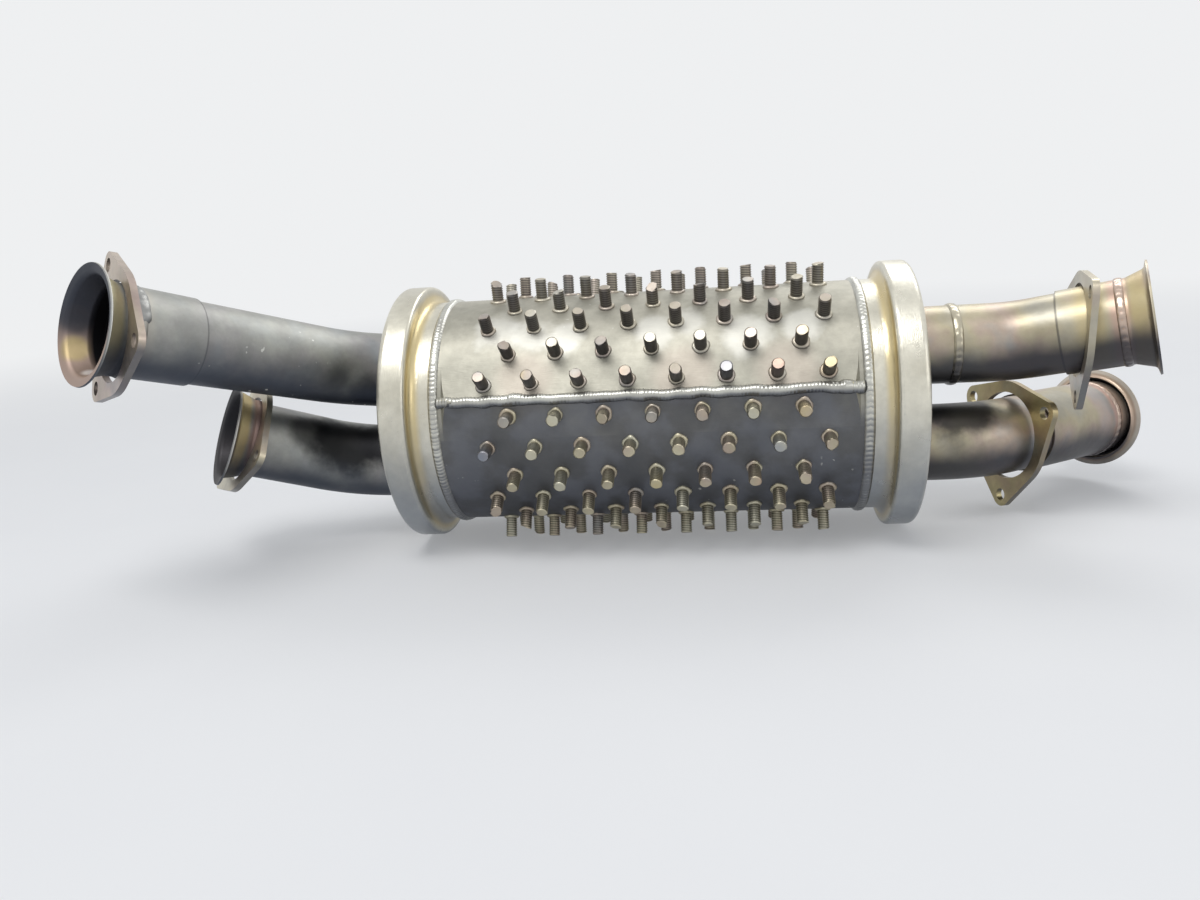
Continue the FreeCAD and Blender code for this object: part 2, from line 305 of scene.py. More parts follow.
class Mouth:
    """The open end of a pipe in a material: how far along and off its axis each place is."""

    def __init__(self, n, rim, axis):
        self.n = n
        self.axis = tuple(axis)
        ray = n.vector("SUBTRACT", n.place, tuple(metres(rim)))
        self.along = n.vector("DOT_PRODUCT", ray, self.axis)
        on_axis = n.vector("SCALE", self.axis, (0, 0, 0), self.along)
        self.radial = n.vector("SUBTRACT", ray, on_axis)
        self.ragged = n.wobbly(n.noise(*RAGS), RAG_DEPTH * MM)

    def banded(self, colour, bands):
        """Bands round the pipe: temper colours, dark joint lines and a painted highlight at the lip."""
        n = self.n
        for distance, width, tint, amount in bands:
            near = n.math("ABSOLUTE", n.math("ADD", self.along, distance * MM))
            if width > THIN_BAND:
                near = n.math("ADD", near, self.ragged)
            near = n.fall(near, BAND_CORE * width * MM, width * MM)
            colour = n.stain(colour, near, amount, tint)
        return colour

    def lined(self, colour, roughness, lit_and_shaded_lining, tints_and_painted_light):
        """Inside the bell: lit tone below, painted shade above, painted black shade deep in the throat."""
        n = self.n
        outward = n.math("GREATER_THAN", n.vector("DOT_PRODUCT", n.normal, self.axis), FACES_MOUTH)
        ledge = n.math("MULTIPLY", outward, n.math("LESS_THAN", self.along, -LEDGE_DEPTH * MM))
        limit = n.math("MULTIPLY", ledge, LEDGE_SLACK * MM)
        inner = n.math("LESS_THAN", n.vector("DOT_PRODUCT", self.radial, n.normal), limit)
        inner = n.math("MULTIPLY", inner, n.math("GREATER_THAN", self.along, -BORE_LENGTH * MM))
        # painted light and shade: the lower inside of the bell gets the lit tone, the upper inside the shaded
        # one
        upper = n.rise(n.math("ADD", n.axis_part(self.radial, "Z"), self.ragged), *BELL_EDGE)
        bell = n.mix(upper, *lit_and_shaded_lining)
        for centre, radius, tint, amount in tints_and_painted_light:
            bell = n.stain(bell, n.blob(centre, radius, LINING_WOBBLE), amount, tint)
        # painted shade: a little deeper in, the bore turns black
        deep = n.rise(n.math("MULTIPLY", self.along, -1.0), *THROAT_EDGE)
        bell = n.mix(deep, bell, PAINTED_THROAT_SHADE)
        dull = n.math("MULTIPLY", n.math("MULTIPLY", inner, deep), THROAT_ROUGHNESS)
        return n.mix(inner, colour, bell), n.math("MAXIMUM", roughness, dull)


def steel(name, tones, rough=(0.30, 0.48), painted_underside_shade=(0.10, 0.11, 0.13), painted_underside_amount=0.75, edge=(-0.75, 0.30),
          tints_and_painted_light=(), soot_and_shadow_patches=(), mouth=None, bands=(), lit_and_shaded_lining=None, metallic=0.85, grain=(1, 1, 1),
          heat=0.0, specks=0.0, fillet=None, shade_below_seam=False, thread=False):
    """Heat-dulled stainless steel.

    tones: light and dark. rough: lowest and highest roughness. painted_underside_shade,
    painted_underside_amount, edge: the painted shade on the side that faces down, how strong it is and
    between which slopes it begins. tints_and_painted_light: (centre, radius, colour, amount) and a wobble
    where it isn't the usual: heat tints and painted sheen, glint and shade. soot_and_shadow_patches:
    (centre, radius, amount) of soot and of painted shadow. mouth: (rim, axis) of an open pipe end, with
    bands, (distance from the rim, half width, colour, amount), and lit_and_shaded_lining, the lit low and
    painted shade high tones inside its bell. grain: stretch of the brushed lines. heat: amount of mottled
    temper colours.
    specks: amount of small bright scratches. fillet: (x, radius) of an inner corner with a straw line.
    shade_below_seam: painted shade in dark blue on the side below the can's seam. thread: painted shade in
    the thread roots."""
    n = Nodes(name)
    light, dark = tones
    colour = n.mix(n.rise(n.noise(*CLOUDS), *CLOUD_EDGE), dark, light)
    colour = n.mix(GRIT_AMOUNT, colour, n.ramp(n.noise(*GRIT), (0.3, 0.45), (0.7, 1.0)), "MULTIPLY")
    if heat:
        hue = n.ramp(n.noise(*TEMPER), (0.34, BLUE), (0.44, PINK), (0.54, STRAW), (0.66, light))
        colour = n.mix(heat, colour, hue)
    # heat tints, and the painted sheen, glint and shade patches
    for centre, radius, tint, amount, *wobble in tints_and_painted_light:
        colour = n.stain(colour, n.blob(centre, radius, *wobble), amount, tint)
    if mouth:
        pipe_end = Mouth(n, *mouth)
        colour = pipe_end.banded(colour, bands)
    # black patches: soot, and painted shadow where the can shades a pipe
    for centre, radius, amount in soot_and_shadow_patches:
        colour = n.stain(colour, n.blob(centre, radius, SOOT_AND_SHADOW_WOBBLE), amount, SOOT_AND_SHADOW_BLACK)
    if fillet:
        x, radius = fillet
        ray = n.vector("SUBTRACT", n.place, tuple(metres((0, 0, 0))))
        off_x = n.distance_from(n.axis_part(ray, "X"), x * MM)
        across = n.vector("LENGTH", n.vector("MULTIPLY", ray, (0, 1, 1)))
        off_radius = n.distance_from(across, radius * MM)
        corner = n.math("MULTIPLY", n.fall(off_x, *FILLET_X_EDGE), n.fall(off_radius, *FILLET_RADIUS_EDGE))
        colour = n.stain(colour, corner, FILLET_AMOUNT, STRAW)
    # painted shade: the side that faces down is darkened
    uneven = n.wobbly(n.noise(*SHADES), 0.5)
    down = n.math("ADD", n.axis_part(n.normal, "Z"), uneven)
    colour = n.stain(colour, n.fall(down, *edge), painted_underside_amount, painted_underside_shade)
    # painted shade: the side below the can's seam turns dark blue
    if shade_below_seam:
        slope = n.vector("DOT_PRODUCT", n.normal, tuple(around(SEAM + 90, 1.0)))
        below = n.fall(n.math("MULTIPLY_ADD", uneven, 0.5, slope), *BELOW_SEAM_EDGE)
        blue = n.mix(n.rise(n.noise(*SEAM_CLOUDS), *SEAM_CLOUD_EDGE), *PAINTED_SEAM_SHADE_TONES)
        colour = n.stain(colour, below, BELOW_SEAM_AMOUNT, blue)
    # painted shade: the thread roots are darkened
    if thread:
        root = n.tree.nodes.new("ShaderNodeAttribute")
        root.attribute_name = "root"
        colour = n.stain(colour, root.outputs["Fac"], ROOT_SHADE_AMOUNT, PAINTED_ROOT_SHADE)
    if specks:
        chip = n.rise(n.noise(*CHIPS), *CHIP_EDGE)
        place = n.rise(n.noise(*CHIP_PLACES), *CHIP_PLACE_EDGE)
        colour = n.stain(colour, n.math("MULTIPLY", chip, place), specks, CHIPPED)
    low, high = rough
    roughness = n.math("MULTIPLY_ADD", n.noise(*GLOSS), high - low, low)
    if mouth:
        colour, roughness = pipe_end.lined(colour, roughness, lit_and_shaded_lining, tints_and_painted_light)
    height = n.math("MULTIPLY_ADD", n.noise(*DENTS), DENT_SHARE, n.noise(*BRUSH, grain))
    n.bump(height, BUMP_DISTANCE, BUMP_STRENGTH)
    return n.finish(colour, roughness, metallic)


def dress(node, material):
    ob = NODES[node]
    ob.data.materials.clear()
    ob.data.materials.append(material)


# The can, its caps and its hidden inside. A straw line runs in the corner between each cap's neck and rim.
CORNER_X = 119.0
CORNER_RADIUS = 62.5
for side, name in ((-1, "left"), (1, "right")):
    dress(name + "_end_cap", steel("steel_%s_cap" % name, CAP_TONES, rough=(0.22, 0.38),
                                   painted_underside_shade=(0.20, 0.23, 0.28), painted_underside_amount=0.80, edge=(-0.70, 0.30),
                                   grain=(12, 1, 1), fillet=(side * CORNER_X, CORNER_RADIUS)))

# angle round the can, x and size of each painted sheen: pale patches that stand in for highlights
PAINTED_SHEEN_PLACES = ((52, -76, 13), (50, -58, 11), (46, -40, 9), (48, 6, 11), (52, 22, 9), (44, 50, 12),
                (47, 78, 9))
painted_sheen_patches = [(around(angle, CAN_RADIUS, x), 1.3 * size, PAINTED_SHEEN, 0.5, 1.5) for angle, x, size in PAINTED_SHEEN_PLACES]
warm = [(around(24, CAN_RADIUS, x), 20.0, WARM, 0.35) for x in (-60, 20, 70)]
dress("can_shell", steel("steel_can", CAN_TONES, rough=(0.44, 0.60), shade_below_seam=True,
                         painted_underside_shade=(0.040, 0.043, 0.052), painted_underside_amount=0.92, edge=(-0.95, 0.12),
                         tints_and_painted_light=painted_sheen_patches + warm, grain=(1, 6, 6), specks=0.35))
for node in ("core_tube", "left_baffle", "right_baffle"):
    dress(node, steel("steel_" + node, INNER_TONES, rough=(0.45, 0.7)))

# The pipes. (distance from the rim, half width, colour, amount) of each band, in millimetres. Last in each
# list is a pale band at the lip, a painted highlight.
BANDS = {
    "left_upper": ((4.0, 5.0, (0.50, 0.46, 0.24), 0.55), (16.8, 7.0, (0.50, 0.46, 0.40), 0.40),
                   (47.0, 0.9, LINE, 0.45), (0.4, 1.0, (0.80, 0.79, 0.74), 0.8)),
    "left_lower": ((3.5, 4.5, STRAW, 0.75), (11.5, 5.0, PINK, 0.55), (15.2, 0.8, LINE, 0.95),
                   (0.3, 0.9, (0.85, 0.84, 0.80), 0.9)),
    "right_upper": ((5.0, 6.0, STRAW, 0.55), (13.5, 6.0, PINK, 0.50), (26.0, 10.0, STRAW, 0.45),
                    (41.0, 0.8, LINE, 0.55), (0.3, 0.9, (0.70, 0.62, 0.48), 0.8)),
    "right_lower": ((3.0, 5.5, (0.62, 0.47, 0.36), 0.75), (10.0, 5.5, PINK, 0.50),
                    (24.0, 9.0, (0.50, 0.42, 0.40), 0.4), (74.0, 0.8, LINE, 0.5),
                    (0.1, 0.6, (0.78, 0.74, 0.66), 0.7)),
}
# (centre, radius, amount) of each black patch: soot on the left pipes; on the right lower pipe it is a
# painted shadow on the pipe's top next to the cap
SOOT_AND_SHADOW = {
    "left_upper": [((-150, -22, 8), 22.0, 0.80), ((-172, -30, 30), 14.0, 0.55),
                   ((-140, -12, 10), 20.0, 0.6)],
    "left_lower": [((-172, -20, -12), 26.0, 0.95), ((-150, -12, -14), 24.0, 0.95),
                   ((-190, -28, -2), 14.0, 0.75)],
    "right_upper": [],
    "right_lower": [((160, -2, -8), 30.0, 0.90), ((142, 0, -8), 22.0, 0.9)],
}
# What the pipes of each end share
LEFT_STEEL = dict(tones=PIPE_TONES, painted_underside_shade=(0.045, 0.055, 0.080), edge=(-0.80, 0.22), rough=(0.44, 0.60),
                  metallic=0.85, heat=0.06)
RIGHT_STEEL = dict(tones=TINTED_TONES, painted_underside_shade=(0.034, 0.037, 0.050), edge=(-0.40, 0.30), rough=(0.32, 0.46),
                   metallic=0.72, heat=0.26)
# Tones inside the bells: first the lit lower side, then the painted shade on the upper side
DARK_LINING_LIT_AND_SHADED = ((0.050, 0.047, 0.050), (0.022, 0.022, 0.026))
COPPER_LINING_LIT_AND_SHADED = ((0.40, 0.30, 0.25), (0.050, 0.055, 0.070))
OUTLET_LINING_LIT_AND_SHADED = ((0.30, 0.27, 0.24), (0.10, 0.10, 0.11))
# The patches in the left upper bell, a straw tint, a painted white glint and a painted dark shade: angle,
# distance off the axis, depth, radius, colour and amount
BELL_TINT_GLINT_AND_SHADE = ((-30, 22.0, 4.0, 8.5, (0.46, 0.37, 0.16), 0.65),
              (-78, 20.5, 6.0, 5.0, (0.92, 0.88, 0.86), 0.85),
              (8, 22.5, 4.0, 9.0, (0.06, 0.06, 0.07), 0.7))

mouths = {name: rim_and_axis(name) for name in INLETS}
for name, (rim, axis) in mouths.items():
    lit_and_shaded_lining, tints_and_painted_light, specks = DARK_LINING_LIT_AND_SHADED, [], 0.0
    if name == "left_upper":
        lit_and_shaded_lining, specks = COPPER_LINING_LIT_AND_SHADED, 0.8
        tints_and_painted_light = [(rim + spoke(axis, angle) * off - axis * depth, radius, colour, amount)
                 for angle, off, depth, radius, colour, amount in BELL_TINT_GLINT_AND_SHADE]
    shared = LEFT_STEEL if name.startswith("left") else RIGHT_STEEL
    mat = steel("steel_" + name, painted_underside_amount=0.92, tints_and_painted_light=tints_and_painted_light, soot_and_shadow_patches=SOOT_AND_SHADOW[name], mouth=(rim, axis),
                bands=BANDS[name], lit_and_shaded_lining=lit_and_shaded_lining, specks=specks, **shared)
    for part in ("_pipe", "_sleeve", "_flared_end", "_stub"):
        if name + part in NODES:
            dress(name + part, mat)

FLANGE_TONES = {
    "left_upper": ((0.62, 0.54, 0.49), (0.34, 0.30, 0.28)),
    "left_lower": ((0.62, 0.58, 0.46), (0.34, 0.31, 0.26)),
    "right_upper": ((0.60, 0.56, 0.46), (0.36, 0.34, 0.28)),
    "right_lower": ((0.56, 0.49, 0.27), (0.32, 0.28, 0.17)),
}
for name, tones in FLANGE_TONES.items():
    dress(name + "_flange", steel("steel_%s_flange" % name, tones, rough=(0.26, 0.42), heat=0.18,
                                  painted_underside_shade=(0.08, 0.09, 0.11), edge=(-0.65, 0.20)))

outlet_rim = around(OUTLET_ANGLE, OUTLET_REACH, FIELD_X)
dress("outlet_stub", steel("steel_outlet", PIPE_TONES, painted_underside_shade=(0.08, 0.09, 0.11), heat=0.15,
                           mouth=(outlet_rim, around(OUTLET_ANGLE, 1.0)), lit_and_shaded_lining=OUTLET_LINING_LIT_AND_SHADED,
                           bands=((40.0, 6.0, STRAW, 0.5), (47.0, 6.0, BLUE, 0.3))))


def mesh_piece(name, verts, faces, material, body, replaces=(), roots=None):
    """A smooth mesh that rides on a body. roots: 1 at each vertex in a thread's root, 0 elsewhere."""
    mesh = bpy.data.meshes.new(name)
    mesh.from_pydata([tuple(v) for v in verts], [], faces)
    mesh.update()
    if roots is not None:
        mesh.attributes.new("root", "FLOAT", "POINT").data.foreach_set("value", roots)
    for p in mesh.polygons:
        p.use_smooth = True
    ob = bpy.data.objects.new(name, mesh)
    bpy.context.scene.collection.objects.link(ob)
    mesh.materials.append(material)
    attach(ob, body)
    if replaces:
        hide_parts(*replaces)


def grid_faces(steps, rings, across, flip=False):
    """Faces between rows of across + 1 vertices; the row after the last is the first again."""
    faces = []
    for s in range(steps):
        for j in range(across):
            a = s * (across + 1) + j
            b = (s + 1) % rings * (across + 1) + j
            faces.append([a, b, b + 1, a + 1] if flip else [a, a + 1, b + 1, b])
    return faces


# Threads, tips and collars of the studs, in millimetres
THREAD_SIDES = 16
TIP_GAP = 0.15              # the thread ends this much short of the stud's full length
TIP_SLOPE = 0.12
CUT_SHARE = 0.16            # share of the studs that were cut more askew
CUT_SLOPE = (0.22, 0.42)
CORE_SHARE = 0.98           # radius of the flat tip, as a share of the thread's root
THREAD_FOOT = -0.4          # the thread starts this far below the sheet
SAME_RADIUS = 1e-6
COLLAR_SIDES = 20
COLLAR_RADIUS = (3.9, 4.5)
COLLAR_WAVES = 5
COLLAR_WAVE = 0.35
WAVE_SHARE = 0.5
WAVE_LIFT = 0.3


def collar(rng, faces, add):
    """The wavy collar of melted steel round a stud's foot."""
    wide = rng.uniform(*COLLAR_RADIUS)
    wave = [rng.uniform(-COLLAR_WAVE, COLLAR_WAVE) for _ in range(COLLAR_WAVES)]
    # radius and height of each ring of vertices, from the stud down to the sheet
    profile = ((STUD_RADIUS - 0.25, 1.15), (STUD_RADIUS + 0.25, 1.2), (wide - 0.15, 0.75), (wide, 0.25),
               (wide - 0.1, -0.5))
    rings = []
    for row, (radius, height) in enumerate(profile):
        on_stud = row < 2
        ring = []
        for k in range(COLLAR_SIDES):
            angle = 2 * math.pi * k / COLLAR_SIDES
            swell = sum(size * math.sin((m + 1) * angle + 3 * size) for m, size in enumerate(wave))
            swell *= WAVE_SHARE
            lift = WAVE_LIFT * swell if height > 0 else 0.0
            ring.append(add(radius + (0.0 if on_stud else swell), angle, height + lift))
        rings.append(ring)
    for low, high in zip(rings, rings[1:]):
        for k in range(COLLAR_SIDES):
            n = (k + 1) % COLLAR_SIDES
            faces.append([low[k], high[k], high[n], low[n]])


def stud_mesh(rng, verts, faces, roots, foot, normal):
    """One threaded stud: a helical thread, a slightly uneven tip and the collar of its weld."""
    side = normal.cross(ALONG_CAN)
    tip = STUD_LENGTH - TIP_GAP
    slope = rng.uniform(-TIP_SLOPE, TIP_SLOPE)
    lean = rng.uniform(0, 2 * math.pi)
    if rng.random() < CUT_SHARE:
        slope = rng.uniform(*CUT_SLOPE)
    root = STUD_RADIUS - THREAD_DEPTH
    core = root * CORE_SHARE
    turns = [2 * math.pi * k / THREAD_SIDES for k in range(THREAD_SIDES)]
    rows = int(2 * tip / PITCH) + 5

    def add(radius, angle, height):
        off = side * (radius * math.cos(angle)) + ALONG_CAN * (radius * math.sin(angle))
        verts.append(metres(foot + normal * height + off))
        roots.append(1.0 if abs(radius - root) < SAME_RADIUS else 0.0)
        return len(verts) - 1

    def top_at(angle):
        return tip - abs(slope) * STUD_RADIUS * (1 - math.cos(angle - lean))

    grid = []
    for row in range(rows):
        line = []
        for k, angle in enumerate(turns):
            height = (row - 2) * 0.5 * PITCH + PITCH * k / THREAD_SIDES
            top = top_at(angle)
            radius = STUD_RADIUS if row % 2 else root
            height = max(height, THREAD_FOOT)
            line.append((core, angle, top) if height > top else (radius, angle, height))
        grid.append(line)
    index = {}

    def vertex(row, k):
        radius, angle, height = grid[row][k]
        key = (round(radius, 4), k, round(height, 4))
        if key not in index:
            index[key] = add(radius, angle, height)
        return index[key]

    last = rows - 1
    for row in range(last):
        for k in range(THREAD_SIDES):
            # at the turn's end the next column starts one full pitch, so two rows, further up
            step = 2 if k == THREAD_SIDES - 1 else 0
            n = (k + 1) % THREAD_SIDES
            if row + 1 + step > last:
                continue
            corners = [vertex(row, k), vertex(row + step, n), vertex(row + 1 + step, n), vertex(row + 1, k)]
            unique = list(dict.fromkeys(corners))
            if len(unique) > 2:
                faces.append(unique)
    cap = [add(core, angle, top_at(angle)) for angle in turns]
    middle = add(0.0, 0.0, sum(top_at(angle) for angle in turns) / THREAD_SIDES)
    for k in range(THREAD_SIDES):
        faces.append([middle, cap[k], cap[(k + 1) % THREAD_SIDES]])
    collar(rng, faces, add)


def stud_field(name, first, last, seed, material):
    """The studs of the rows from first up to last, except where the outlet stands."""
    rng = random.Random(seed)
    verts, faces, roots = [], [], []
    for row in range(first, last):
        angle = SEAM + (row + 0.5) * ROW_ANGLE
        from_outlet = (angle - SEAM) % 360 - 180
        from_seam = (angle - SEAM + 180) % 360 - 180
        lean, radius = 0.0, CAN_RADIUS
        if abs(from_seam) < SEAM_FLAT:
            lean = math.copysign(SEAM_FLAT, from_seam) - from_seam
            radius = CAN_RADIUS / math.cos(math.radians(lean))
        normal = around(angle + lean, 1.0)
        count = ROW_STUDS - row % 2
        for index in range(count):
            x = FIELD_X + (index - 0.5 * (count - 1)) * STUD_GAP
            away = math.hypot(x - FIELD_X, CAN_RADIUS * math.sin(math.radians(from_outlet)))
            if abs(from_outlet) < 90 and away < OUTLET_CLEAR:
                continue
            stud_mesh(rng, verts, faces, roots, around(angle, radius, x), normal)
    mesh_piece(name + "_threaded", verts, faces, material, MAIN, replaces=(name,), roots=roots)


# angle round the can, x and colour of each group of tinted studs
STUD_TINTS = ((24, 62, PINK), (24, -20, PINK), (24, -68, STRAW), (24, 86, STRAW), (8, 70, STRAW),
              (-12, -80, BLUE), (-12, 60, BLUE), (-25, 10, STRAW), (-25, 62, PINK), (24, 38, BLUE),
              (38, 85, STRAW))
STUD_TIP_RADIUS = 73
stud_tints = [(around(angle, STUD_TIP_RADIUS, x), 13.0, colour, 0.42) for angle, x, colour in STUD_TINTS]
upper_steel = steel("steel_upper_studs", ((0.60, 0.57, 0.49), (0.34, 0.32, 0.28)), rough=(0.34, 0.50),
                    heat=0.16, painted_underside_shade=(0.10, 0.10, 0.11), painted_underside_amount=0.7, edge=(-0.5, 0.3), thread=True,
                    tints_and_painted_light=stud_tints)
lower_steel = steel("steel_lower_studs", ((0.56, 0.54, 0.43), (0.36, 0.34, 0.28)), rough=(0.36, 0.52),
                    heat=0.22, painted_underside_shade=(0.16, 0.15, 0.14), painted_underside_amount=0.45, edge=(-1.1, -0.3), thread=True,
                    tints_and_painted_light=stud_tints)
stud_field("upper_studs", first=0, last=12, seed=11, material=upper_steel)
stud_field("lower_studs", first=12, last=24, seed=12, material=lower_steel)

# Round welds, in millimetres
COIN_PITCH = (0.75, 1.25)
COIN_SIZE = (0.94, 1.06)
COIN_STEPS = 6
COIN_BOW = 0.5              # how far a coin's middle trails its ends, in pitches
COIN_ROUNDNESS = 0.7
WELD_ACROSS = 8
WELD_SINK = 0.25
WELD_END = 8.0              # degrees over which the end of an open weld fades out
SMALL = 1e-6


def weld_ring(name, centre, axis, radius, wide, high, count, seed, material, start=0.0, sweep=360.0,
              valley=0.84):
    """A hand-laid weld: overlapping bowed coins round a pipe, their size and pitch a little uneven.

    wide and high: half its width and its height. valley: height between two coins, as a share."""
    rng = random.Random(seed)
    edges = [0.0]
    for _ in range(count):
        edges.append(edges[-1] + rng.uniform(*COIN_PITCH))
    edges = [e * sweep / edges[-1] for e in edges]
    sizes = [rng.uniform(*COIN_SIZE) for _ in range(count)]
    whole = sweep >= 360
    steps = count * COIN_STEPS
    rings = steps if whole else steps + 1
    verts = []
    for s in range(rings):
        at = sweep * s / steps
        closing = 1.0 if whole else min(1.0, min(at, sweep - at) / WELD_END)
        out = spoke(axis, start + at)
        for j in range(WELD_ACROSS + 1):
            u = 2.0 * j / WELD_ACROSS - 1.0
            crown = math.sqrt(max(0.0, 1 - u * u))
            place = at + COIN_BOW * sweep / count * u * u
            place = place % sweep if whole else min(place, sweep - SMALL)
            coin = min(bisect.bisect_right(edges, place) - 1, count - 1)
            part = (place - edges[coin]) / (edges[coin + 1] - edges[coin])
            hump = math.sin(math.pi * min(1.0, max(0.0, part))) ** COIN_ROUNDNESS
            lift = high * sizes[coin] * (valley + (1 - valley) * hump) * closing * crown
            width = u * wide * (0.5 + 0.5 * closing)
            verts.append(metres(centre + axis * width + out * (radius - WELD_SINK + lift)))
    mesh_piece(name, verts, grid_faces(steps, rings, WELD_ACROSS), material, MAIN)


copper = steel("steel_weld_tinted", ((0.64, 0.50, 0.41), (0.44, 0.34, 0.28)), rough=(0.22, 0.36),
               painted_underside_shade=(0.05, 0.05, 0.06), painted_underside_amount=0.92, edge=(-0.40, 0.30))
straw = steel("steel_weld_straw", ((0.62, 0.57, 0.44), (0.42, 0.38, 0.29)), rough=(0.22, 0.36),
              painted_underside_shade=(0.05, 0.05, 0.06), painted_underside_amount=0.92, edge=(-0.40, 0.30))
pale = steel("steel_weld_pale", ((0.66, 0.66, 0.60), (0.46, 0.45, 0.41)), rough=(0.24, 0.40),
             painted_underside_shade=(0.10, 0.11, 0.14), painted_underside_amount=0.8, edge=(-0.5, 0.2))
sooty = steel("steel_weld_sooted", ((0.40, 0.40, 0.38), (0.27, 0.27, 0.27)), rough=(0.36, 0.5),
              painted_underside_amount=0.9)


def ring_centre(name):
    rim, axis = mouths[name]
    return rim - axis * INLETS[name]["ring"]


for name in ("right_upper", "right_lower"):
    weld_ring(name + "_weld", ring_centre(name), mouths[name][1], SLEEVE_RADIUS, wide=2.3, high=1.05,
              count=34, seed=len(name), material=copper, valley=0.72)
weld_ring("left_upper_weld", ring_centre("left_upper"), mouths["left_upper"][1], SLEEVE_RADIUS, wide=3.3,
          high=1.3, count=5, seed=3, material=sooty, start=98.0, sweep=74.0, valley=0.55)
stub = INLETS["right_upper"]
weld_ring("right_upper_stub_weld", Vector((DISH_X + STUB_LENGTH, stub["across"], stub["up"])), ALONG_CAN,
          PIPE_RADIUS, wide=2.7, high=1.3, count=30, seed=5, material=straw, valley=0.8)

FOOT_WELD_LIFT = 1.3
for side, name, count in ((-1, "left", 176), (1, "right", 140)):
    out = Vector((side, 0, 0))
    weld_ring(name + "_can_weld", out * CAN_HALF, out, CAN_RADIUS, wide=2.7, high=1.85, count=count,
              seed=7 + side, material=pale)
    for inlet, d in INLETS.items():
        if d["side"] == side:
            foot = Vector((side * (DISH_X + FOOT_WELD_LIFT), d["across"], d["up"]))
            weld_ring(inlet + "_foot_weld", foot, out, PIPE_RADIUS, wide=2.2, high=2.2, count=36,
                      seed=len(inlet) + 3, material=sooty)

# The weld along the can's seam, in millimetres
SEAM_SEED = 21
SEAM_STEPS = 520
SEAM_ACROSS = 10
SEAM_ENDS = 5.0             # how much shorter than the can's sheet the weld is
SEAM_WIDE = 2.8
SEAM_HIGH = 3.0
SEAM_SINK = 1.2
SEAM_LUMPS = 34
LUMP_WIDTH = (1.6, 3.6)
LUMP_SIZE = (-0.06, 0.18)   # as a share of the weld's own size
SEAM_WAVES = 5
WAVE_TURN = (0.10, 0.55)    # radians per millimetre
WHOLE_TURN = 6.28
WAVE_SIZE = (0.08, 0.20)
SWELL_LIMITS = (0.94, 1.28)
WANDER_LIMIT = 0.45
RIPPLE = 0.03
RIPPLE_LENGTH = 1.8
PEAK_FADE = 12.0            # over this length the peaked sheet turns round at the can's ends


def seam_weld():
    """The bead along the front of the can: it wanders a little, with soft lumps and fine ripples."""
    rng = random.Random(SEAM_SEED)
    length = 2 * CAN_HALF - SEAM_ENDS
    lumps = [(rng.uniform(0, length), rng.uniform(*LUMP_WIDTH), rng.uniform(*LUMP_SIZE))
             for _ in range(SEAM_LUMPS)]
    waves = [(rng.uniform(*WAVE_TURN), rng.uniform(0, WHOLE_TURN), rng.uniform(*WAVE_SIZE))
             for _ in range(SEAM_WAVES)]
    outwards = around(SEAM, 1.0)
    sideways = around(SEAM + 90, 1.0)
    low, high = SWELL_LIMITS
    verts = []
    for s in range(SEAM_STEPS + 1):
        u = length * s / SEAM_STEPS
        x = u - 0.5 * length
        swell = 1.0 + sum(size * math.exp(-((u - at) / wide) ** 2) for at, wide, size in lumps)
        swell += RIPPLE * math.sin(2 * math.pi * u / RIPPLE_LENGTH + 0.8 * math.sin(u * 0.4))
        swell = max(low, min(high, swell))
        wander = sum(size * math.sin(turn * u + shift) for turn, shift, size in waves)
        wander = max(-WANDER_LIMIT, min(WANDER_LIMIT, wander))
        fade = min(1.0, (CAN_HALF - abs(x)) / PEAK_FADE)
        peak = CAN_RADIUS + (SEAM_PEAK - CAN_RADIUS) * fade
        middle = around(SEAM, peak - SEAM_SINK, x)
        for j in range(SEAM_ACROSS + 1):
            a = math.pi * j / SEAM_ACROSS
            verts.append(metres(middle + sideways * (SEAM_WIDE * swell * math.cos(a) + wander)
                                + outwards * (SEAM_HIGH * swell * math.sin(a))))
    faces = grid_faces(SEAM_STEPS, SEAM_STEPS + 1, SEAM_ACROSS, flip=True)
    mesh_piece("seam_weld", verts, faces, pale, MAIN)


seam_weld()

# The camera, as fitted to the photograph: place in can millimetres, yaw, pitch and roll in degrees
CAMERA_PLACE = (39.5, -510.93, 103.95)
CAMERA_TURN = (-7.96, 14.153, -3.908)
FOCAL_PIXELS = 940.0
PHOTO_WIDTH = 1200.0
SENSOR = 36.0
NEAREST = 0.01


def camera():
    yaw, pitch, roll = (math.radians(a) for a in CAMERA_TURN)
    ahead = Vector((math.sin(yaw) * math.cos(pitch), math.cos(yaw) * math.cos(pitch), -math.sin(pitch)))
    right = Vector((math.cos(yaw), -math.sin(yaw), 0))
    up = right.cross(ahead)
    turned = right * math.cos(roll) + up * math.sin(roll)
    upright = up * math.cos(roll) - right * math.sin(roll)
    data = bpy.data.cameras.new("camera")
    data.sensor_width = SENSOR
    data.lens = SENSOR * FOCAL_PIXELS / PHOTO_WIDTH
    data.clip_start = NEAREST
    ob = bpy.data.objects.new("camera", data)
    bpy.context.scene.collection.objects.link(ob)
    rows = Matrix((turned, upright, -ahead)).transposed().to_4x4()
    ob.matrix_world = Matrix.Translation(metres(CAMERA_PLACE)) @ rows
    bpy.context.scene.camera = ob


# The floor, in metres, and the background that is seen behind the object
PALE = (0.86, 0.87, 0.88, 1)
FLOOR_HALF = 6.0
FLOOR_CLOUDS = (9, 3)
FLOOR_TONES = ((0.78, 0.78, 0.79), (0.82, 0.82, 0.82))
FLOOR_ROUGHNESS = 0.7
FLOOR_FADE = (0.45, 1.6)    # from here to there the floor turns into the background
NEAR_GLOW = 0.28


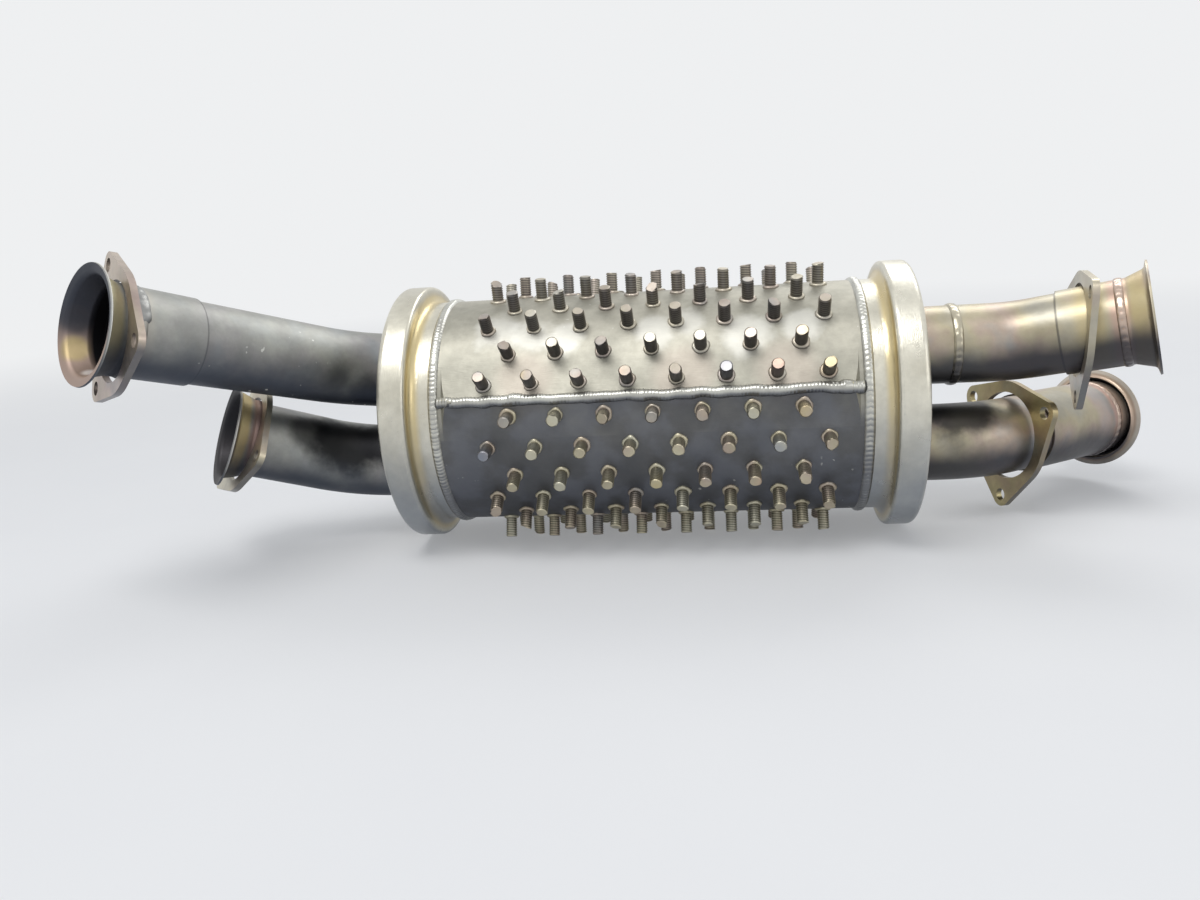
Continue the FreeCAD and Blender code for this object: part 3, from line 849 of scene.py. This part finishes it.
def seen_directly(tree):
    """1 for rays of the camera, of reflections and of see-through surfaces, 0 for the light on the object."""
    path = tree.nodes.new("ShaderNodeLightPath")
    total = path.outputs["Is Camera Ray"]
    for kind in ("Is Glossy Ray", "Is Transmission Ray"):
        n = tree.nodes.new("ShaderNodeMath")
        n.operation = "MAXIMUM"
        tree.links.new(total, n.inputs[0])
        tree.links.new(path.outputs[kind], n.inputs[1])
        total = n.outputs[0]
    return total


def floor():
    """A pale floor that keeps the object's shadow near it and turns into the background further off."""
    mesh = bpy.data.meshes.new("floor")
    s = FLOOR_HALF
    mesh.from_pydata([(-s, -s, 0), (s, -s, 0), (s, s, 0), (-s, s, 0)], [], [(0, 1, 2, 3)])
    ob = bpy.data.objects.new("floor", mesh)
    bpy.context.scene.collection.objects.link(ob)
    n = Nodes("floor")
    grey = n.mix(n.noise(*FLOOR_CLOUDS), *FLOOR_TONES)
    mat = n.finish(grey, FLOOR_ROUGHNESS, 0.0)
    glow = n.tree.nodes.new("ShaderNodeEmission")
    n.put(glow.inputs["Color"], PALE)
    far = n.rise(n.vector("LENGTH", n.place), *FLOOR_FADE)
    seen = n.math("MULTIPLY", seen_directly(n.tree), n.math("MULTIPLY_ADD", far, 1.0 - NEAR_GLOW, NEAR_GLOW))
    both = n.tree.nodes.new("ShaderNodeMixShader")
    n.put(both.inputs[0], seen)
    n.put(both.inputs[1], n.shader.outputs[0])
    n.put(both.inputs[2], glow.outputs[0])
    n.put(n.tree.nodes["Material Output"].inputs["Surface"], both.outputs[0])
    mesh.materials.append(mat)


# The light: each lamp's place and size in metres and its power in watts
LAMPS = {
    "key": ((-0.25, -0.55, 1.3), (0.9, 0.5), 9),
    "back": ((0.5, 0.9, 1.1), (1.0, 0.5), 5),
    "fill": ((1.2, -0.8, 0.7), (0.7, 0.7), 2),
}
LAMP_AIM = Vector((0, 0, 0.07))
WORLD_COLOUR = (0.62, 0.66, 0.72, 1)
WORLD_STRENGTH = 0.62


def light():
    for name, (place, size, power) in LAMPS.items():
        data = bpy.data.lights.new(name, "AREA")
        data.shape = "RECTANGLE"
        data.size, data.size_y = size
        data.energy = power
        ob = bpy.data.objects.new(name, data)
        bpy.context.scene.collection.objects.link(ob)
        ob.location = place
        ob.rotation_euler = (LAMP_AIM - Vector(place)).to_track_quat("-Z", "Y").to_euler()
    world = bpy.data.worlds.new("world")
    bpy.context.scene.world = world
    world.use_nodes = True
    tree = world.node_tree
    back = tree.nodes["Background"]
    back.inputs["Color"].default_value = WORLD_COLOUR
    back.inputs["Strength"].default_value = WORLD_STRENGTH
    seen = tree.nodes.new("ShaderNodeBackground")
    seen.inputs["Color"].default_value = PALE
    either = tree.nodes.new("ShaderNodeMixShader")
    tree.links.new(seen_directly(tree), either.inputs[0])
    tree.links.new(back.outputs[0], either.inputs[1])
    tree.links.new(seen.outputs[0], either.inputs[2])
    tree.links.new(either.outputs[0], tree.nodes["World Output"].inputs["Surface"])


camera()
floor()
light()
bpy.context.scene.view_settings.view_transform = "Standard"
